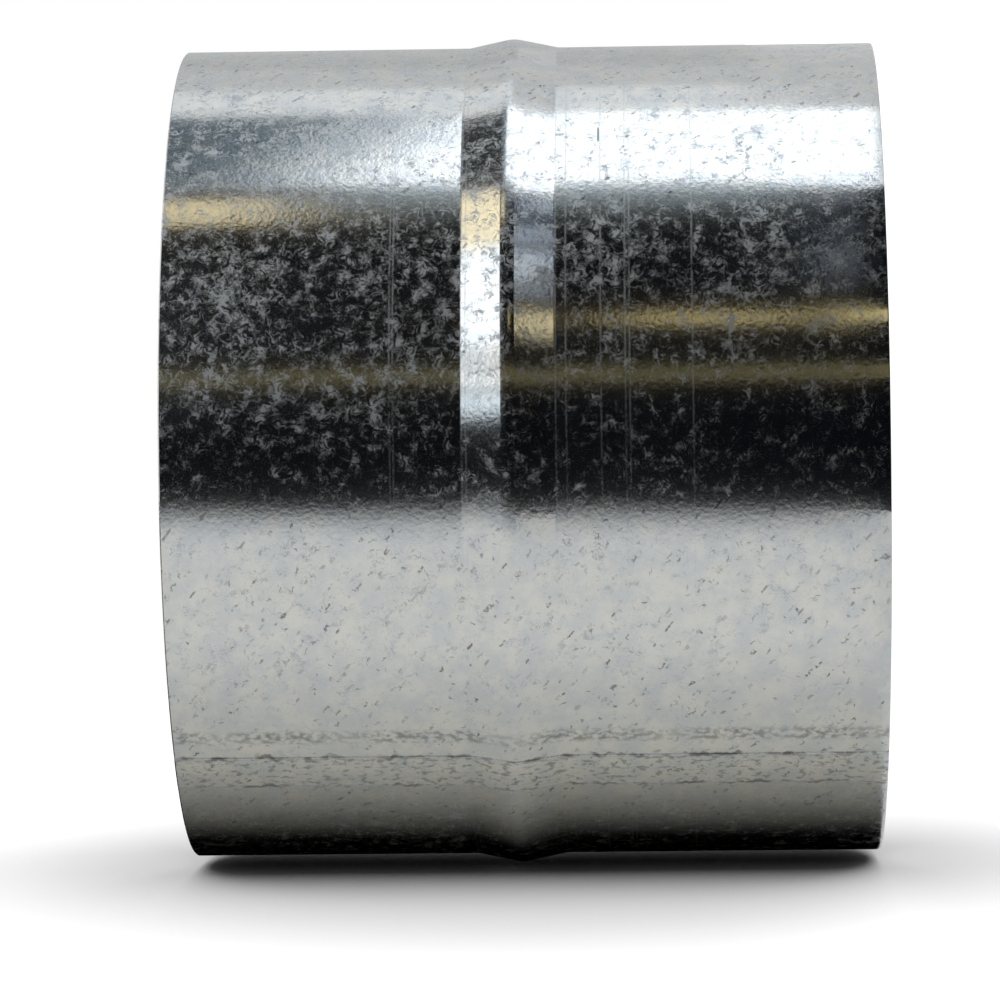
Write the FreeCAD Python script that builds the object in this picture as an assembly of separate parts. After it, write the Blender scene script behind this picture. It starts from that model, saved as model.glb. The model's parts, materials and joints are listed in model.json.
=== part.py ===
# Male connector for round sheet-metal duct: a rolled and seam-welded sleeve with one stop bead.
# Lengths are in millimetres and angles in degrees.
# The sleeve stands on one rim, with the duct axis along +Z and the origin at the middle of that rim.
import FreeCAD, Part

import math
import os

# Driving dimensions: the duct that slides over either end, and the gap it leaves all round
DUCT_INSIDE_DIAMETER = 100.0
DUCT_CLEARANCE = 0.5

# Driving dimensions: the rolled sheet
SHEET_THICKNESS = 0.5
LOWER_SPIGOT_LENGTH = 38.2
UPPER_SPIGOT_LENGTH = 34.6
RIM_CHAMFER = 0.15
LARGEST_CHAMFER_SHARE = 0.4

# Driving dimensions: the stop bead, measured on the outer face of the sheet
BEAD_WIDTH = 10.8
BEAD_HEIGHT = 1.05
BEAD_CROWN_RADIUS = 4.0
BEAD_FOOT_RADIUS = 1.0

# Driving dimensions: the welded lap seam, with its bearing from the -Y direction towards +X
SEAM_WIDTH = 5.4
SEAM_RISE = 0.1
SEAM_BEARING = -49.2

# Worked out from the driving dimensions
OUTSIDE_RADIUS = DUCT_INSIDE_DIAMETER / 2 - DUCT_CLEARANCE
BEAD_START = LOWER_SPIGOT_LENGTH
BEAD_MIDDLE = BEAD_START + BEAD_WIDTH / 2
BEAD_END = BEAD_START + BEAD_WIDTH
SLEEVE_LENGTH = BEAD_END + UPPER_SPIGOT_LENGTH
RIM_BREAK = min(RIM_CHAMFER, LARGEST_CHAMFER_SHARE * SHEET_THICKNESS)
SEAM_ANGLE = math.degrees(SEAM_WIDTH / OUTSIDE_RADIUS)


def bead_flank_slope():
    """Slope of the bead's flanks, in radians, that gives the stated width, height and crown radius."""
    half_width = BEAD_WIDTH / 2
    crown_depth = BEAD_CROWN_RADIUS - BEAD_HEIGHT
    foot_distance = math.hypot(half_width, crown_depth)
    return math.atan2(half_width, crown_depth) - math.acos(BEAD_CROWN_RADIUS / foot_distance)


def section_point(radius, height):
    """Point of the sleeve's half section, in the plane through the duct axis."""
    return FreeCAD.Vector(radius, 0, height)


def arc_about(centre, radius, start, end):
    """Arc of the half section about a centre; angles in radians from outward towards upward."""
    angles = (start, (start + end) / 2, end)
    arms = [section_point(math.cos(angle), math.sin(angle)) * radius for angle in angles]
    return Part.Arc(centre + arms[0], centre + arms[1], centre + arms[2]).toShape()


def line_between(start, end):
    """Straight edge of the half section."""
    return Part.LineSegment(start, end).toShape()


def start_of(edge):
    """First point of an edge."""
    return edge.firstVertex(True).Point


def end_of(edge):
    """Last point of an edge."""
    return edge.lastVertex(True).Point


def bead_edges(depth):
    """Bends, flanks and crown of the bead, going up, at a depth under the sheet's outer face."""
    slope = bead_flank_slope()
    foot_run = BEAD_FOOT_RADIUS * math.tan(slope / 2)
    foot_offset = OUTSIDE_RADIUS + BEAD_FOOT_RADIUS
    lower_foot = section_point(foot_offset, BEAD_START - foot_run)
    upper_foot = section_point(foot_offset, BEAD_END + foot_run)
    crown = section_point(OUTSIDE_RADIUS + BEAD_HEIGHT - BEAD_CROWN_RADIUS, BEAD_MIDDLE)
    lower_bend = arc_about(lower_foot, BEAD_FOOT_RADIUS + depth, math.pi, math.pi - slope)
    ridge = arc_about(crown, BEAD_CROWN_RADIUS - depth, -slope, slope)
    upper_bend = arc_about(upper_foot, BEAD_FOOT_RADIUS + depth, math.pi + slope, math.pi)
    lower_flank = line_between(end_of(lower_bend), start_of(ridge))
    upper_flank = line_between(end_of(ridge), start_of(upper_bend))
    return [lower_bend, lower_flank, ridge, upper_flank, upper_bend]


def sheet_section(outer_depth, inner_depth):
    """Closed half section of the sheet between two depths under its outer face, with deburred rims."""
    outer_bead = bead_edges(outer_depth)
    inner_bead = bead_edges(inner_depth)
    outer_radius = OUTSIDE_RADIUS - outer_depth
    inner_radius = OUTSIDE_RADIUS - inner_depth
    lower_end = [
        start_of(inner_bead[0]),
        section_point(inner_radius, RIM_BREAK),
        section_point(inner_radius + RIM_BREAK, 0),
        section_point(outer_radius - RIM_BREAK, 0),
        section_point(outer_radius, RIM_BREAK),
        start_of(outer_bead[0]),
    ]
    upper_end = [
        end_of(outer_bead[-1]),
        section_point(outer_radius, SLEEVE_LENGTH - RIM_BREAK),
        section_point(outer_radius - RIM_BREAK, SLEEVE_LENGTH),
        section_point(inner_radius + RIM_BREAK, SLEEVE_LENGTH),
        section_point(inner_radius, SLEEVE_LENGTH - RIM_BREAK),
        end_of(inner_bead[-1]),
    ]
    spigots = Part.makePolygon(lower_end).Edges + Part.makePolygon(upper_end).Edges
    outline = Part.__sortEdges__(outer_bead + inner_bead + spigots)
    return Part.Face(Part.Wire(outline))


def revolved(section, start_bearing, sweep):
    """Section turned about the duct axis; bearings run from the -Y direction towards +X."""
    axis_point = FreeCAD.Vector(0, 0, 0)
    duct_axis = FreeCAD.Vector(0, 0, 1)
    section.rotate(axis_point, duct_axis, start_bearing - 90)
    return section.revolve(axis_point, duct_axis, sweep)


def rolled_wall():
    """The sheet rolled into a tube about the duct axis, with the bead rolled outward in it."""
    return revolved(sheet_section(0, SHEET_THICKNESS), SEAM_BEARING + 180, 360)


def welded_seam():
    """The lap pressed flat and welded, standing a little proud of both faces, across the bead too."""
    section = sheet_section(-SEAM_RISE, SHEET_THICKNESS + SEAM_RISE)
    return revolved(section, SEAM_BEARING - SEAM_ANGLE / 2, SEAM_ANGLE)


def connector_sleeve():
    """The whole connector as one solid."""
    return rolled_wall().fuse(welded_seam()).Solids[0]


os.makedirs("parts", exist_ok=True)
connector_sleeve().exportStep("parts/connector_sleeve.step")
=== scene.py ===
import json
import math

import bpy
from mathutils import Matrix, Vector


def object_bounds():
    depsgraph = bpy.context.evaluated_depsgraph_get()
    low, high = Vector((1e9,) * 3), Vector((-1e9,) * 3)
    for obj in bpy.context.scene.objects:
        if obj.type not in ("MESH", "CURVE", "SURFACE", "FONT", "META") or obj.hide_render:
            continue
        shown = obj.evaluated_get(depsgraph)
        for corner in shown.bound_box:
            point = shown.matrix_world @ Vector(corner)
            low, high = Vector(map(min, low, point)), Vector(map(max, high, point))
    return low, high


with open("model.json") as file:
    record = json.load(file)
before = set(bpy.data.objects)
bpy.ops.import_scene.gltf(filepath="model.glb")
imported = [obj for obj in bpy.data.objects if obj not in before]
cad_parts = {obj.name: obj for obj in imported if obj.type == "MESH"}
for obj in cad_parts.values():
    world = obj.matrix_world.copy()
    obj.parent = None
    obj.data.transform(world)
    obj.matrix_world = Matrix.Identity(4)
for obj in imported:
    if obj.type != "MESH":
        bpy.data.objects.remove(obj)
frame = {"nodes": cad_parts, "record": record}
cad_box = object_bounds()

# Lengths are in metres unless a name ends in MM, and bearings in degrees from -Y towards +X.
# The camera stands on the -Y side. Its picture has +Z, the duct axis, to the left and +X to the top.
# Where a pair of numbers sets a smooth change, the change begins at the first and ends at the second.

# Camera, as the photograph was taken
CAMERA_PLACE = Vector((0.0, -0.6428, 0.0261))
CAMERA_LENS = 187.6
AIM_UP = math.radians(1.783)
AIM_SIDE = math.radians(-0.541)
CAMERA_ROLL = math.radians(0.682)

# Sleeve, from the frame
MM_PER_METRE = 1000
BEAD_RADIUS = cad_box[1].x
SLEEVE_MIDDLE = cad_box[1].z / 2
SPIGOT_RADIUS_MM = frame["record"]["mounts"][0]["dims"]["r_mm"]
SPIGOT_RADIUS = SPIGOT_RADIUS_MM / MM_PER_METRE

# Soft light: an even white room, and one broad lamp on the +X side
ROOM_WHITE = (1.0, 1.0, 1.0)
ROOM_FOR_MATT = 0.22
LAMP_PLACE = Vector((0.65, -0.05, 0.04))
LAMP_WIDTH = 1.8
LAMP_HEIGHT = 1.6
LAMP_WATTS = 12.3

# Floor that the sleeve stands on, lifted to white by a painted glow that is weaker beside the rim, so
# that a shade shows there, partly painted and partly real
PALE = (0.95, 0.95, 0.95)
NO_LIGHT = (0.0, 0.0, 0.0)
FLOOR_REACH = 0.9
FLOOR_NOTCH = (-0.03, 0.12)
FLOOR_ARC_STEPS = 48
FLOOR_LIFT = (0.42, 0.95)
FLOOR_SHADE = (0.0, 0.045)
FLOOR_SHADE_FRONT = (0.04, -0.01)
FLOOR_SHADE_MIDDLE = 0.009
FLOOR_SHADE_SIDES = (0.012, 0.038)

# Upright board beside the sleeve, which stands where the photograph has its table
BOARD_GAP = 0.0002
BOARD_FRONT = -0.25
BOARD_BACK = 0.5
BOARD_FOOT = -0.3
BOARD_TOP = 0.5
BOARD_LIFT = 0.25
BOARD_SHADE = (0.08, 0.155)
BOARD_SHADE_STRETCH = (1.0, 1.0, 1.9)

# Studio cards: how far each kind is from the sleeve's face, along the sight that the face mirrors
FRONT_PATH = 0.4
STRIP_PATH = 0.39
EDGE_PATH = 0.395
SOFTBOX_PATH = 0.45
HAZE_PATH = 0.455
BEHIND_PATH = 0.46
BACK_PATH = 0.8
TABLE_PATH = 0.16

# Studio cards: bearings, heights and reaches that several share, and the step between points
FLAG_START = -14
FLAG_END = 38.5
TABLE_START = -8.7
BACK_END = 88
ROD_BEARINGS = (9, 11)
STRIP_BEARINGS = (16.8, 18.4)
SOFTBOX_BEARINGS = (38.7, 53.3)
BEARING_STEP = 2
FLAG_TOP = 0.175
FRONT_SOFTBOX_HEIGHTS = (0.185, 0.26)
BACK_TOP = 0.8
WARM_REACH = (0.095, 0.115)
BLUE_REACH = (0.105, 0.138)

# Studio cards on the ground: layers a hair apart, the widest of them from under the rim's chamfer
GROUND_LAYER = 0.00004
UNDER_RIM = -0.0003
GROUND_SHADE = (0.0, 0.024)
GROUND_DARKEST = 0.5

# Studio cards with a broken tone
FRONT_PATCHES_PER_METRE = 38
GROUND_PATCHES_PER_METRE = 65
PATCH_EDGES = (0.43, 0.57)
PATCH_STRENGTHS = (0.1, 2.3)

# Tones of the studio cards that the metal mirrors
BLACK = (0.003, 0.0033, 0.005)
CHARCOAL = (0.03, 0.033, 0.036)
SLATE = (0.1, 0.14, 0.17)
HAZE = (0.55, 0.64, 0.7)
DUSK = (0.2, 0.235, 0.25)
DIM = (0.06, 0.068, 0.072)
PALE_BLUE = (0.42, 0.47, 0.53)
STEEL_BLUE = (0.27, 0.32, 0.39)
GREY = (0.66, 0.67, 0.67)
MIST = (0.55, 0.56, 0.555)
PEARL = (0.95, 0.98, 0.99)
GLARE = (0.7, 0.78, 0.84)
WHITE = (1.76, 1.86, 1.94)
STRAW = (0.78, 0.64, 0.3)
SAND = (1.15, 0.98, 0.61)
OCHRE = (0.155, 0.137, 0.073)
KHAKI = (0.5, 0.43, 0.27)
CREAM = (1.6, 1.38, 0.9)

# Table card, which the metal mirrors in place of the board: a painted reflection of the board, with a
# painted shade where it touches the sleeve
TABLE = (0.765, 0.77, 0.75)
TABLE_NEAR = (0.8, 0.788, 0.705)
TABLE_FAR = (0.75, 0.775, 0.795)
TABLE_NEAR_REACH = (0.022, 0.05)
TABLE_FAR_REACH = (0.085, 0.17)
TABLE_SHADE = (0.0108, 0.04)
TABLE_FALL = (0.036, 0.07)
TABLE_FALL_LOWEST = 0.72
TABLE_END = (0.235, 0.125)
TABLE_SLANT = 0.18
TABLE_LEVEL = 0.058

# Galvanised finish: colours, the two roughnesses that its grains have, and its bump
ZINC_COOL = (0.612, 0.632, 0.648)
ZINC_WARM = (0.705, 0.702, 0.68)
ZINC_PATCHES_PER_MM = 0.28
ZINC_PATCH_EDGES = (0.34, 0.66)
DULL_ZINC = (0.56, 0.588, 0.618)
WELD_BRIGHT = (0.82, 0.82, 0.8)
PIT_GREY = (0.09, 0.09, 0.088)
BRIGHT_ROUGHNESS = 0.14
DULL_ROUGHNESS = 0.5
GRAIN_MM = 0.02
BUMPS_PER_MM = 2.0
WAVES_PER_MM = 0.06
WAVE_SHARE = 4.4
BUMP_HEIGHT = 0.000011

# Dull flecks
HIGH_UP_MM = (-2.0, 16.0)
LOW_DOWN_MM = (-6.0, -13.0)
FLECKS_LEAST = 0.12
FLECKS_LOW_DOWN = 0.38
FLECKS_HEIGHT_MM = (-10.0, 70.0)
FLECKS_BY_HEIGHT = (0.52, 1.15)
USUAL_DULLNESS = 0.12
NOISE_MIDDLE = 0.5
CURL_SHARE = -1.4
DRIFT_SHARE = 0.25
FLECK_LEVEL = 0.535
FLECK_CONTRAST = 16.5
FLECK_CEILING = 0.8

# Roll scratches, by their heights
SCRATCHES_MM = (57.1, 56.7, 48.9, 48.4, 38.1, 36.9, 32.9, 30.1, 29.6, 22.4)
SCRATCH_WIDTH_MM = 0.2
SCRATCH_WOBBLE_MM = 0.1
SCRATCH_BREAKS = (0.15, 0.6)
SCRATCH_DEPTHS = (0.15, 0.5)

# Dark ticks, as layers with a lean in degrees and a number of ticks to the millimetre, and one nick
TICK_LAYERS = ((35, 0.4), (-55, 0.36), (80, 0.34), (-10, 0.38))
TICK_SHAKES_PER_MM = 1.1
TICK_SHAKE_MM = (1.9, -1.5, 0.0)
TICK_STRETCH = (1.0, 2.0, 1.0)
TICK_REACH_MM = (0.45, 0.1)
TICK_CHANCE = (0.4, 1.0)
TICK_DEPTH = 0.85
NICK_PLACE_MM = (41.6, 33.1)
NICK_LENGTH_MM = (1.6, 1.0)
NICK_WIDTH_MM = (0.18, 0.04)
NICK_DEPTH = 0.9

# Welded seam: its two edges, the stains along and between them, and a scuffed band beside it
SEAM_BEARINGS = (-46.1, -52.3)
WELD_DULL_MM = (0.3, 0.15)
WELD_BRIGHT_MM = (0.1, 0.04)
STAIN_STRAY_MM = 1.3
STAIN_WIDTH_MM = (0.5, 0.15)
STAIN_GAPS = ((0.43, 0.64), (0.46, 0.64))
SMEAR_WIDTH_MM = (3.4, 2.4)
SMEAR_GAPS = (0.52, 0.7)
SMEAR_DEPTH = 0.75
SCUFF_BEARING = -42.1
SCUFF_WIDTH_MM = (1.4, 0.5)
SCUFF_GAPS = (0.36, 0.66)
SCUFF_FADE = (0.3, 0.6)
SCUFF_FADE_DEPTHS = (0.5, 1.0)
SCUFF_DEPTH = 0.85
STAIN_DEPTH = 0.65


class Nodes:
    """Shader nodes of a material or of the world, with a short call for each kind that is used."""

    def __init__(self, owner):
        owner.use_nodes = True
        self.tree = owner.node_tree

    def add(self, kind):
        """New node of a kind."""
        return self.tree.nodes.new("ShaderNode" + kind)

    def named(self, name):
        """Node that is there already."""
        return self.tree.nodes[name]

    def join(self, value, socket):
        """Give a socket a number, a vector, a colour or another node's output."""
        if isinstance(value, bpy.types.NodeSocket):
            self.tree.links.new(value, socket)
        elif socket.type == "RGBA":
            socket.default_value = (*value, 1)
        else:
            socket.default_value = value

    def math(self, operation, first, second=0.0):
        """One sum on numbers."""
        node = self.add("Math")
        node.operation = operation
        self.join(first, node.inputs[0])
        self.join(second, node.inputs[1])
        return node.outputs[0]

    def total(self, first, *others):
        """Sum of several numbers."""
        for other in others:
            first = self.math("ADD", first, other)
        return first

    def product(self, first, *others):
        """Product of several numbers."""
        for other in others:
            first = self.math("MULTIPLY", first, other)
        return first

    def largest(self, first, *others):
        """Largest of several numbers."""
        for other in others:
            first = self.math("MAXIMUM", first, other)
        return first

    def apart(self, first, second):
        """Distance between two numbers."""
        return self.math("ABSOLUTE", self.math("SUBTRACT", first, second))

    def between(self, value, low, high):
        """Smooth rise from 0 to 1 as the value goes from low to high."""
        node = self.add("MapRange")
        node.interpolation_type = "SMOOTHSTEP"
        self.join(value, node.inputs["Value"])
        node.inputs["From Min"].default_value = low
        node.inputs["From Max"].default_value = high
        return node.outputs["Result"]

    def scaled(self, value, at_zero, at_one):
        """Straight change from one number to another as the value goes from 0 to 1."""
        node = self.add("MapRange")
        self.join(value, node.inputs["Value"])
        self.join(at_zero, node.inputs["To Min"])
        self.join(at_one, node.inputs["To Max"])
        return node.outputs["Result"]

    def blend(self, share, first, second):
        """Mix of two colours."""
        node = self.add("Mix")
        node.data_type = "RGBA"
        # The colours go in at sockets 6 and 7, and come out at 2
        self.join(share, node.inputs[0])
        self.join(first, node.inputs[6])
        self.join(second, node.inputs[7])
        return node.outputs[2]

    def place(self):
        """Places on the object, in its own frame."""
        return self.add("TexCoord").outputs["Object"]

    def parts(self, vector):
        """The three numbers of a vector."""
        node = self.add("SeparateXYZ")
        self.join(vector, node.inputs[0])
        return node.outputs

    def vector(self, x, y, z):
        """Vector from three numbers."""
        node = self.add("CombineXYZ")
        self.join(x, node.inputs[0])
        self.join(y, node.inputs[1])
        self.join(z, node.inputs[2])
        return node.outputs[0]

    def vector_sum(self, operation, first, second=(0, 0, 0), third=(0, 0, 0)):
        """One sum on vectors."""
        node = self.add("VectorMath")
        node.operation = operation
        for value, socket in zip((first, second, third), node.inputs):
            self.join(value, socket)
        return node.outputs["Vector"]

    def length(self, vector):
        """Length of a vector."""
        node = self.add("VectorMath")
        node.operation = "LENGTH"
        self.join(vector, node.inputs[0])
        return node.outputs["Value"]

    def stretched(self, place, scale, turn=0.0):
        """Places scaled, and turned about the third axis by degrees."""
        node = self.add("Mapping")
        self.join(place, node.inputs["Vector"])
        node.inputs["Rotation"].default_value = (0, 0, math.radians(turn))
        node.inputs["Scale"].default_value = scale
        return node.outputs[0]

    def noise(self, place, scale, detail, roughness=0.5, distortion=0.0, dimensions="3D"):
        """Cloudy noise from 0 to 1, with one blob to every 1 / scale."""
        node = self.add("TexNoise")
        node.noise_dimensions = dimensions
        self.join(place, node.inputs["Vector"])
        node.inputs["Scale"].default_value = scale
        node.inputs["Detail"].default_value = detail
        node.inputs["Roughness"].default_value = roughness
        node.inputs["Distortion"].default_value = distortion
        return node.outputs[0]

    def sheet_noise(self, sheet_place, scale, detail, roughness=0.5, distortion=0.0):
        """Cloudy noise on the flat sheet."""
        return self.noise(sheet_place, scale, detail, roughness, distortion, "2D")

    def streaks(self, sheet_place, scale_round, scale_up, detail):
        """Cloudy noise on the flat sheet, with one scale round the sleeve and another up it."""
        stretched = self.stretched(sheet_place, (scale_round, scale_up, 1.0))
        return self.sheet_noise(stretched, 1.0, detail)

    def spots(self, place, scale):
        """Distance to the nearest of scattered points on the sheet, and a random number for each."""
        node = self.add("TexVoronoi")
        node.voronoi_dimensions = "2D"
        self.join(place, node.inputs["Vector"])
        node.inputs["Scale"].default_value = scale
        return node.outputs["Distance"], node.outputs["Color"]

    def chance(self, place):
        """Random number from 0 to 1 for each place."""
        node = self.add("TexWhiteNoise")
        self.join(place, node.inputs["Vector"])
        return node.outputs["Value"]

    def light_path(self, name):
        """What kind of ray meets the surface."""
        return self.add("LightPath").outputs[name]

    def strength_by_ray(self, when_seen, for_matt):
        """One strength where seen, also in mirrors and through glass, and another for matt surfaces."""
        kinds = ("Is Camera Ray", "Is Glossy Ray", "Is Transmission Ray")
        seen = self.largest(*[self.light_path(kind) for kind in kinds])
        return self.scaled(seen, for_matt, when_seen)


def add_to_scene(name, data):
    """New object in the scene."""
    piece = bpy.data.objects.new(name, data)
    bpy.context.scene.collection.objects.link(piece)
    return piece


def new_mesh(name, points, faces):
    """Mesh object from points and faces."""
    mesh = bpy.data.meshes.new(name)
    mesh.from_pydata(points, [], faces)
    return add_to_scene(name, mesh)


def add_camera():
    """Camera on the -Y side, turned a quarter so that the duct axis lies across the picture."""
    aim = Vector((math.tan(AIM_SIDE), 1.0, math.tan(AIM_UP))).normalized()
    level_right = aim.cross(Vector((1.0, 0.0, 0.0))).normalized()
    level_up = level_right.cross(aim)
    right = math.cos(CAMERA_ROLL) * level_right - math.sin(CAMERA_ROLL) * level_up
    up = math.cos(CAMERA_ROLL) * level_up + math.sin(CAMERA_ROLL) * level_right
    data = bpy.data.cameras.new("camera")
    data.lens = CAMERA_LENS
    camera = add_to_scene("camera", data)
    turn = Matrix((right, up, -aim)).transposed().to_4x4()
    camera.matrix_world = Matrix.Translation(CAMERA_PLACE) @ turn
    bpy.context.scene.camera = camera


def add_room_light():
    """White room, as the camera and the metal see it; matt surfaces take less light from it."""
    world = bpy.data.worlds.new("room")
    nodes = Nodes(world)
    background = nodes.named("Background")
    nodes.join(ROOM_WHITE, background.inputs["Color"])
    nodes.join(nodes.strength_by_ray(1.0, ROOM_FOR_MATT), background.inputs["Strength"])
    bpy.context.scene.world = world


def add_lamp():
    """Broad soft lamp facing the board; its own shape isn't mirrored in the metal."""
    data = bpy.data.lights.new("lamp", "AREA")
    data.shape = "RECTANGLE"
    data.size = LAMP_HEIGHT
    data.size_y = LAMP_WIDTH
    data.energy = LAMP_WATTS
    lamp = add_to_scene("lamp", data)
    lamp.visible_camera = False
    lamp.visible_glossy = False
    lamp.location = LAMP_PLACE
    lamp.rotation_euler = (0.0, math.pi / 2, 0.0)


def pale_material(name):
    """Matt pale surface that takes shadows; to other matt surfaces it is no brighter than the room."""
    material = bpy.data.materials.new(name)
    nodes = Nodes(material)
    shader = nodes.named("Principled BSDF")
    shader.inputs["Roughness"].default_value = 1.0
    shader.inputs["Specular IOR Level"].default_value = 0.0
    nodes.join(ROOM_WHITE, shader.inputs["Emission Color"])
    pale_at_first = nodes.blend(nodes.light_path("Diffuse Depth"), PALE, NO_LIGHT)
    nodes.join(pale_at_first, shader.inputs["Base Color"])
    material.cycles.emission_sampling = "NONE"
    return material


def lift_to_white(nodes, lift):
    """Brighten a pale surface towards white."""
    strength = nodes.named("Principled BSDF").inputs["Emission Strength"]
    nodes.join(nodes.strength_by_ray(lift, ROOM_FOR_MATT), strength)


def clear_from_behind(nodes):
    """Let rays from behind a pale surface pass through it."""
    either = nodes.add("MixShader")
    nodes.join(nodes.add("NewGeometry").outputs["Backfacing"], either.inputs[0])
    nodes.join(nodes.named("Principled BSDF").outputs[0], either.inputs[1])
    nodes.join(nodes.add("BsdfTransparent").outputs[0], either.inputs[2])
    nodes.join(either.outputs[0], nodes.named("Material Output").inputs["Surface"])


def floor_outline():
    """Square with a notch beside the sleeve; in the notch, the edge follows the sleeve's circle."""
    reach = FLOOR_REACH
    side, back = FLOOR_NOTCH
    first = math.acos(side / SPIGOT_RADIUS)
    sweep = 2 * (math.pi - first)
    angles = [first + sweep * step / FLOOR_ARC_STEPS for step in range(FLOOR_ARC_STEPS + 1)]
    under_sleeve = [(SPIGOT_RADIUS * math.cos(a), SPIGOT_RADIUS * math.sin(a)) for a in angles]
    front = [(side, -reach), (reach, -reach)]
    behind = [(reach, reach), (-reach, reach), (-reach, back), (side, back)]
    return under_sleeve + front + behind


def floor_lift(nodes):
    """Painted glow that lifts the floor to white, weaker beside the rim so that a shade is left there,
    partly painted and partly real: all round inside, and only behind outside.
    """
    place = nodes.place()
    from_axis = nodes.length(place)
    off_rim = nodes.between(nodes.apart(from_axis, SPIGOT_RADIUS), *FLOOR_SHADE)
    x, y, _ = nodes.parts(place)
    in_front = nodes.between(y, *FLOOR_SHADE_FRONT)
    aside = nodes.between(nodes.apart(x, FLOOR_SHADE_MIDDLE), *FLOOR_SHADE_SIDES)
    outside = nodes.math("GREATER_THAN", from_axis, SPIGOT_RADIUS)
    unshaded = nodes.product(nodes.largest(in_front, aside), outside)
    return nodes.scaled(nodes.largest(off_rim, unshaded), *FLOOR_LIFT)


def add_floor():
    """Pale floor that the sleeve stands on, open beside it where the board goes on below."""
    outline = floor_outline()
    floor = new_mesh("floor", [(x, y, 0) for x, y in outline], [range(len(outline))])
    material = pale_material("floor")
    nodes = Nodes(material)
    lift_to_white(nodes, floor_lift(nodes))
    floor.data.materials.append(material)
    floor.visible_shadow = False


def upright_sheet(name, x, back, foot):
    """Upright rectangle beside the sleeve, facing +X."""
    low_corners = [(x, BOARD_FRONT, foot), (x, back, foot)]
    high_corners = [(x, back, BOARD_TOP), (x, BOARD_FRONT, BOARD_TOP)]
    return new_mesh(name, low_corners + high_corners, [(0, 1, 2, 3)])


def add_board():
    """Pale board beside the sleeve, lifted to white away from it by a painted glow, so that its real
    shade stays only near the sleeve.
    """
    material = pale_material("board")
    nodes = Nodes(material)
    from_sleeve = nodes.vector_sum("SUBTRACT", nodes.place(), (-BEAD_RADIUS, 0, SLEEVE_MIDDLE))
    away = nodes.length(nodes.vector_sum("MULTIPLY", from_sleeve, BOARD_SHADE_STRETCH))
    lift_to_white(nodes, nodes.product(nodes.between(away, *BOARD_SHADE), BOARD_LIFT))
    clear_from_behind(nodes)
    board = upright_sheet("board", -BEAD_RADIUS - BOARD_GAP, BOARD_BACK, BOARD_FOOT)
    board.data.materials.append(material)


def tone_material(name, tone):
    """Even tone, the same under any lamp, that lights nothing."""
    material = bpy.data.materials.new(name)
    nodes = Nodes(material)
    nodes.tree.nodes.remove(nodes.named("Principled BSDF"))
    glow = nodes.add("Emission")
    nodes.join(tone, glow.inputs["Color"])
    nodes.join(nodes.scaled(nodes.light_path("Diffuse Depth"), 1.0, 0.0), glow.inputs["Strength"])
    nodes.join(glow.outputs[0], nodes.named("Material Output").inputs["Surface"])
    material.cycles.emission_sampling = "NONE"
    return material


def vary_strength(nodes, share):
    """Multiply a tone's strength by a share that varies over the card."""
    strength = nodes.named("Emission").inputs["Strength"]
    nodes.join(nodes.product(strength.links[0].from_socket, share), strength)


def stage_card(card, material):
    """Make a mesh a studio card, which shows only in mirror-like surfaces."""
    card.data.materials.append(material)
    card.visible_camera = False
    card.visible_diffuse = False
    card.visible_shadow = False
    card.visible_transmission = False
    card.visible_volume_scatter = False


def mirrored_point(bearing, path, height):
    """Point that the sleeve's face at a bearing mirrors to the camera, a path away from that face."""
    angle = math.radians(bearing)
    outward = Vector((math.sin(angle), -math.cos(angle), 0.0))
    face = outward * SPIGOT_RADIUS
    sight = face - Vector((CAMERA_PLACE.x, CAMERA_PLACE.y, 0.0))
    point = face + sight.normalized().reflect(outward) * path
    return (point.x, point.y, height)


def add_card(name, tone, bearings, near_edge, far_edge):
    """Studio card that the sleeve mirrors to the camera between two of its bearings.

    Each edge is a path and one or two heights, at the first and the last bearing.
    """
    steps = max(2, round(abs(bearings[1] - bearings[0]) / BEARING_STEP))
    points = []
    for step in range(steps + 1):
        share = step / steps
        bearing = bearings[0] + (bearings[1] - bearings[0]) * share
        for path, *heights in (near_edge, far_edge):
            height = heights[0] + (heights[-1] - heights[0]) * share
            points.append(mirrored_point(bearing, path, height))
    faces = [(2 * i, 2 * i + 1, 2 * i + 3, 2 * i + 2) for i in range(steps)]
    card = new_mesh(name, points, faces)
    stage_card(card, tone_material(name, tone))
    return card


def upright_card(name, tone, bearings, path, foot, *tops):
    """Studio card that stands on edge, with one or two heights at its top."""
    return add_card(name, tone, bearings, (path, foot), (path, *tops))


def ground_card(name, tone, bearings, near, far, layer=1):
    """Studio card that lies on the ground between two paths."""
    height = layer * GROUND_LAYER
    return add_card(name, tone, bearings, (near, height), (far, height))


def mottle(card, patches_per_metre):
    """Break a card's tone into light and dark patches."""
    nodes = Nodes(card.data.materials[0])
    patches = nodes.noise(nodes.place(), patches_per_metre, detail=3.0)
    vary_strength(nodes, nodes.scaled(nodes.between(patches, *PATCH_EDGES), *PATCH_STRENGTHS))


def shade_by_sleeve(card):
    """Darken a ground card close to the sleeve, as the sleeve's own shade would."""
    nodes = Nodes(card.data.materials[0])
    off_rim = nodes.math("SUBTRACT", nodes.length(nodes.place()), SPIGOT_RADIUS)
    vary_strength(nodes, nodes.scaled(nodes.between(off_rim, *GROUND_SHADE), GROUND_DARKEST, 1.0))


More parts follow.
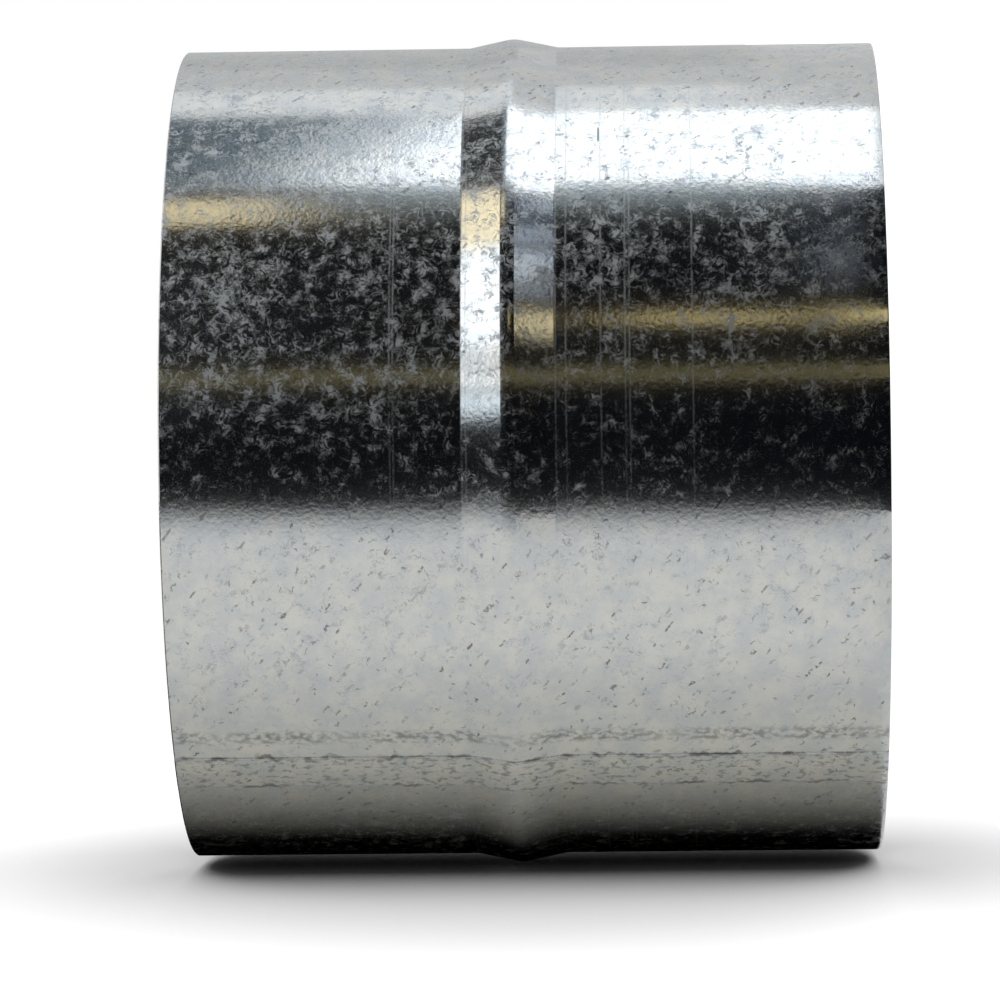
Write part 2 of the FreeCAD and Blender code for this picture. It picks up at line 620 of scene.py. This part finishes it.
def add_front_cards():
    """Dark flags, softbox and warm strips in front of the sleeve."""
    upright_card("front_flag", BLACK, (FLAG_START, FLAG_END), FRONT_PATH, 0.0, FLAG_TOP)
    upright_card("front_flag_tall", BLACK, (FLAG_START, 5), FRONT_PATH, FLAG_TOP, 0.42)
    heights = FRONT_SOFTBOX_HEIGHTS
    upright_card("front_softbox", WHITE, (15, 29), FRONT_PATH, *heights)
    softbox_end = upright_card("front_softbox_end", PEARL, (9, 15), FRONT_PATH, *heights)
    mottle(softbox_end, FRONT_PATCHES_PER_METRE)
    softbox_foot = upright_card("front_softbox_foot", HAZE, (4, 9), FRONT_PATH, *heights)
    mottle(softbox_foot, FRONT_PATCHES_PER_METRE)
    upright_card("warm_strip_high", CREAM, (29, 38), STRIP_PATH, FLAG_TOP, 0.22)
    upright_card("warm_strip_left", SAND, (32.2, 36.6), STRIP_PATH, 0.1, 0.13)
    upright_card("warm_rod", OCHRE, ROD_BEARINGS, STRIP_PATH, 0.0, 0.17)
    upright_card("warm_strip_right", STRAW, STRIP_BEARINGS, STRIP_PATH, 0.0, 0.032)


def add_side_cards():
    """Softbox at the sleeve's +X side with its dim edges, and the walls behind."""
    upright_card("side_softbox", WHITE, SOFTBOX_BEARINGS, SOFTBOX_PATH, 0.0, 0.09, 0.062)
    upright_card("softbox_haze", GLARE, SOFTBOX_BEARINGS, HAZE_PATH, 0.06, 0.11, 0.085)
    upright_card("softbox_edge", HAZE, (37.2, 38.8), EDGE_PATH, 0.0, 0.085)
    upright_card("softbox_dim_edge", DUSK, (34.6, 37.2), EDGE_PATH, 0.0, 0.1)
    upright_card("softbox_dark_edge", DIM, (32.2, 34.6), EDGE_PATH, 0.0, 0.1)
    upright_card("over_softbox", SLATE, SOFTBOX_BEARINGS, BEHIND_PATH, 0.06, 0.14)
    upright_card("over_softbox_dark", CHARCOAL, SOFTBOX_BEARINGS, BEHIND_PATH, 0.14, 0.4)
    upright_card("back_wall_near", PEARL, (SOFTBOX_BEARINGS[1], 60.5), BACK_PATH, 0.0, BACK_TOP)
    upright_card("back_wall", GREY, (60.5, 68), BACK_PATH, 0.0, BACK_TOP)
    upright_card("back_wall_far", MIST, (68, BACK_END), BACK_PATH, 0.0, BACK_TOP)


def add_ground_cards():
    """What the sleeve mirrors of the ground round it, with a second layer for what is brighter."""
    ground_card("front_ground", BLACK, (TABLE_START, FLAG_END), UNDER_RIM, FRONT_PATH)
    ground_card("back_ground", GREY, (SOFTBOX_BEARINGS[1], BACK_END), UNDER_RIM, BACK_PATH)
    ground_card("table_ground", GREY, (-75, TABLE_START), UNDER_RIM, TABLE_PATH)
    warm = ground_card("warm_ground", KHAKI, (15, 20), *WARM_REACH, layer=2)
    mottle(warm, GROUND_PATCHES_PER_METRE)
    ground_card("warm_strip_foot", STRAW, STRIP_BEARINGS, 0.0, WARM_REACH[0], layer=2)
    ground_card("warm_rod_foot", OCHRE, ROD_BEARINGS, 0.0, STRIP_PATH, layer=2)
    pale_blue = ground_card("pale_blue_ground", PALE_BLUE, (21, 29), *BLUE_REACH, layer=2)
    mottle(pale_blue, GROUND_PATCHES_PER_METRE)
    blue = ground_card("blue_ground", STEEL_BLUE, (29, 37), *BLUE_REACH, layer=2)
    mottle(blue, GROUND_PATCHES_PER_METRE)
    white_bearings = (37.5, SOFTBOX_BEARINGS[1])
    white = ground_card("white_ground", WHITE, white_bearings, UNDER_RIM, SOFTBOX_PATH, layer=2)
    shade_by_sleeve(white)


def add_table_card():
    """Painted reflection of the board for the metal to mirror, with a painted shade where they touch,
    and darker far in front.
    """
    material = tone_material("table_card", TABLE)
    nodes = Nodes(material)
    _, along_board, height = nodes.parts(nodes.place())
    away = nodes.math("ABSOLUTE", along_board)
    nearer = nodes.blend(nodes.between(away, *TABLE_NEAR_REACH), TABLE_NEAR, TABLE)
    tone = nodes.blend(nodes.between(away, *TABLE_FAR_REACH), nearer, TABLE_FAR)
    nodes.join(tone, nodes.named("Emission").inputs["Color"])
    below_level = nodes.math("SUBTRACT", TABLE_LEVEL, height)
    slanted = nodes.total(away, nodes.product(below_level, TABLE_SLANT))
    # Painted shade on the mirrored board: dark where it touches the sleeve, a little dimmer a short way
    # out, and dark far in front
    fall = nodes.scaled(nodes.between(away, *TABLE_FALL), TABLE_FALL_LOWEST, 1.0)
    painted_contact_shade = nodes.between(away, *TABLE_SHADE)
    vary_strength(nodes, nodes.product(painted_contact_shade, nodes.between(slanted, *TABLE_END), fall))
    card = upright_sheet("table_card", -BEAD_RADIUS - BOARD_GAP / 2, -BOARD_FRONT, 0)
    stage_card(card, material)


def round_at(bearing):
    """Distance round the sleeve's face at a bearing, in millimetres."""
    return math.radians(bearing) * SPIGOT_RADIUS_MM


def zinc_material():
    """Bright hot-dip zinc with dull flecks, pits, roll scratches, and stains along the welded seam."""
    material = bpy.data.materials.new("galvanised_steel")
    nodes = Nodes(material)
    shader = nodes.named("Principled BSDF")
    shader.inputs["Metallic"].default_value = 1.0
    solid_place = nodes.stretched(nodes.place(), (MM_PER_METRE, MM_PER_METRE, MM_PER_METRE))
    x, y, height_mm = nodes.parts(solid_place)
    bearing = nodes.math("ARCTAN2", x, nodes.math("MULTIPLY", y, -1.0))
    round_mm = nodes.math("MULTIPLY", bearing, SPIGOT_RADIUS_MM)
    sheet_place = nodes.vector(round_mm, height_mm, 0.0)

    high_up = nodes.between(round_mm, *HIGH_UP_MM)
    flecks = dull_flecks(nodes, sheet_place, height_mm, round_mm, high_up)
    scratches = roll_scratches(nodes, sheet_place, height_mm, high_up)
    dullness = nodes.largest(flecks, scratches, weld_edges(nodes, round_mm))
    grain_place = nodes.vector_sum("SNAP", solid_place, (GRAIN_MM, GRAIN_MM, GRAIN_MM))
    dull_grain = nodes.math("LESS_THAN", nodes.chance(grain_place), dullness)
    roughness = nodes.scaled(dull_grain, BRIGHT_ROUGHNESS, DULL_ROUGHNESS)
    nodes.join(roughness, shader.inputs["Roughness"])

    clouds = nodes.sheet_noise(sheet_place, ZINC_PATCHES_PER_MM, detail=5.0, roughness=0.65)
    bright_zinc = nodes.blend(nodes.between(clouds, *ZINC_PATCH_EDGES), ZINC_COOL, ZINC_WARM)
    zinc = nodes.blend(nodes.between(dullness, 0.0, 1.0), bright_zinc, DULL_ZINC)
    from_weld = nodes.apart(round_mm, round_at(SEAM_BEARINGS[0]))
    zinc = nodes.blend(nodes.between(from_weld, *WELD_BRIGHT_MM), zinc, WELD_BRIGHT)
    stains = seam_stains(nodes, sheet_place, round_mm)
    marks = nodes.largest(dark_ticks(nodes, sheet_place), stains, nick(nodes, round_mm, height_mm))
    nodes.join(nodes.blend(marks, zinc, PIT_GREY), shader.inputs["Base Color"])

    bump = nodes.add("Bump")
    bumps = nodes.noise(solid_place, BUMPS_PER_MM, detail=1.0)
    waves = nodes.noise(solid_place, WAVES_PER_MM, detail=0.0)
    nodes.join(nodes.total(bumps, nodes.product(waves, WAVE_SHARE)), bump.inputs["Height"])
    bump.inputs["Distance"].default_value = BUMP_HEIGHT
    nodes.join(bump.outputs[0], shader.inputs["Normal"])
    return material


def dull_flecks(nodes, sheet_place, height_mm, round_mm, high_up):
    """Share of dull grains: curled flecks in clouds, fewest about the -Y line and near the floor."""
    veins = nodes.sheet_noise(sheet_place, scale=1.0, detail=2.0, roughness=0.6, distortion=0.8)
    curls = nodes.product(nodes.apart(veins, NOISE_MIDDLE), CURL_SHARE)
    clouds = nodes.sheet_noise(sheet_place, scale=0.52, detail=4.0, roughness=0.72)
    drifts = nodes.product(nodes.sheet_noise(sheet_place, scale=0.1, detail=1.0), DRIFT_SHARE)
    over_level = nodes.math("SUBTRACT", nodes.total(clouds, curls, drifts), FLECK_LEVEL)
    strength = nodes.math("EXPONENT", nodes.product(over_level, FLECK_CONTRAST))
    low_down = nodes.product(nodes.between(round_mm, *LOW_DOWN_MM), FLECKS_LOW_DOWN)
    by_bearing = nodes.largest(nodes.scaled(high_up, FLECKS_LEAST, 1.0), low_down)
    by_height = nodes.scaled(nodes.between(height_mm, *FLECKS_HEIGHT_MM), *FLECKS_BY_HEIGHT)
    share = nodes.product(strength, nodes.product(by_bearing, USUAL_DULLNESS), by_height)
    return nodes.math("DIVIDE", share, nodes.total(nodes.product(share, FLECK_CEILING), 1.0))


def weld_edges(nodes, round_mm):
    """Dull line along each edge of the welded seam."""
    lines = []
    for bearing in SEAM_BEARINGS:
        lines.append(nodes.between(nodes.apart(round_mm, round_at(bearing)), *WELD_DULL_MM))
    return nodes.largest(*lines)


def roll_scratches(nodes, sheet_place, height_mm, high_up):
    """Fine scratches right round the sleeve, weaker low down and here and there."""
    wobble = nodes.streaks(sheet_place, 0.04, 0.0, detail=1.0)
    level = nodes.total(height_mm, nodes.scaled(wobble, -SCRATCH_WOBBLE_MM, SCRATCH_WOBBLE_MM))
    lines = []
    for scratch in SCRATCHES_MM:
        lines.append(nodes.between(nodes.apart(level, scratch), SCRATCH_WIDTH_MM, 0.0))
    broken = nodes.between(nodes.streaks(sheet_place, 0.35, 0.8, detail=2.0), *SCRATCH_BREAKS)
    return nodes.product(nodes.largest(*lines), broken, nodes.scaled(high_up, *SCRATCH_DEPTHS))


def dark_ticks(nodes, sheet_place):
    """Scattered short dark ticks, leaning either way."""
    shake = nodes.sheet_noise(sheet_place, TICK_SHAKES_PER_MM, detail=2.0)
    both_ways = nodes.vector(shake, shake, 0.0)
    shaken = nodes.vector_sum("MULTIPLY_ADD", both_ways, TICK_SHAKE_MM, sheet_place)
    ticks = []
    for lean, ticks_per_mm in TICK_LAYERS:
        turned = nodes.stretched(shaken, (1, 1, 1), lean)
        distance, chance = nodes.spots(nodes.stretched(turned, TICK_STRETCH), ticks_per_mm)
        spot = nodes.between(nodes.math("DIVIDE", distance, ticks_per_mm), *TICK_REACH_MM)
        depth = nodes.between(chance, *TICK_CHANCE)
        ticks.append(nodes.product(spot, depth, depth))
    return nodes.product(nodes.largest(*ticks), TICK_DEPTH)


def nick(nodes, round_mm, height_mm):
    """One short dark nick round the sleeve."""
    around, up = NICK_PLACE_MM
    in_length = nodes.between(nodes.apart(round_mm, around), *NICK_LENGTH_MM)
    in_width = nodes.between(nodes.apart(height_mm, up), *NICK_WIDTH_MM)
    return nodes.product(in_length, in_width, NICK_DEPTH)


def seam_stains(nodes, sheet_place, round_mm):
    """Dark stains along the two edges of the seam, between them, and in one scuffed band beside it."""
    edges = [round_at(bearing) for bearing in SEAM_BEARINGS]
    stray = nodes.streaks(sheet_place, 0.0, 0.5, detail=2.0)
    strayed = nodes.total(round_mm, nodes.scaled(stray, -STAIN_STRAY_MM, STAIN_STRAY_MM))
    dashes = nodes.streaks(sheet_place, 0.7, 0.3, detail=3.0)
    lines = []
    for edge, gaps in zip(edges, STAIN_GAPS):
        near_edge = nodes.between(nodes.apart(strayed, edge), *STAIN_WIDTH_MM)
        lines.append(nodes.product(near_edge, nodes.between(dashes, *gaps)))

    inside = nodes.between(nodes.apart(round_mm, sum(edges) / 2), *SMEAR_WIDTH_MM)
    blots = nodes.between(nodes.streaks(sheet_place, 1.7, 0.95, detail=3.0), *SMEAR_GAPS)
    smears = nodes.product(inside, blots, SMEAR_DEPTH)

    beside = nodes.between(nodes.apart(round_mm, round_at(SCUFF_BEARING)), *SCUFF_WIDTH_MM)
    rubbed = nodes.between(nodes.streaks(sheet_place, 1.5, 1.1, detail=3.0), *SCUFF_GAPS)
    fade = nodes.between(nodes.streaks(sheet_place, 0.03, 0.1, detail=1.0), *SCUFF_FADE)
    scuffs = nodes.product(beside, rubbed, nodes.scaled(fade, *SCUFF_FADE_DEPTHS), SCUFF_DEPTH)
    return nodes.product(nodes.largest(*lines, smears, scuffs), STAIN_DEPTH)


add_camera()
add_room_light()
add_lamp()
add_floor()
add_board()
add_front_cards()
add_side_cards()
add_ground_cards()
add_table_card()
sleeve = frame["nodes"]["connector_sleeve"]
sleeve.data.materials.clear()
sleeve.data.materials.append(zinc_material())
bpy.context.scene.view_settings.view_transform = "Standard"
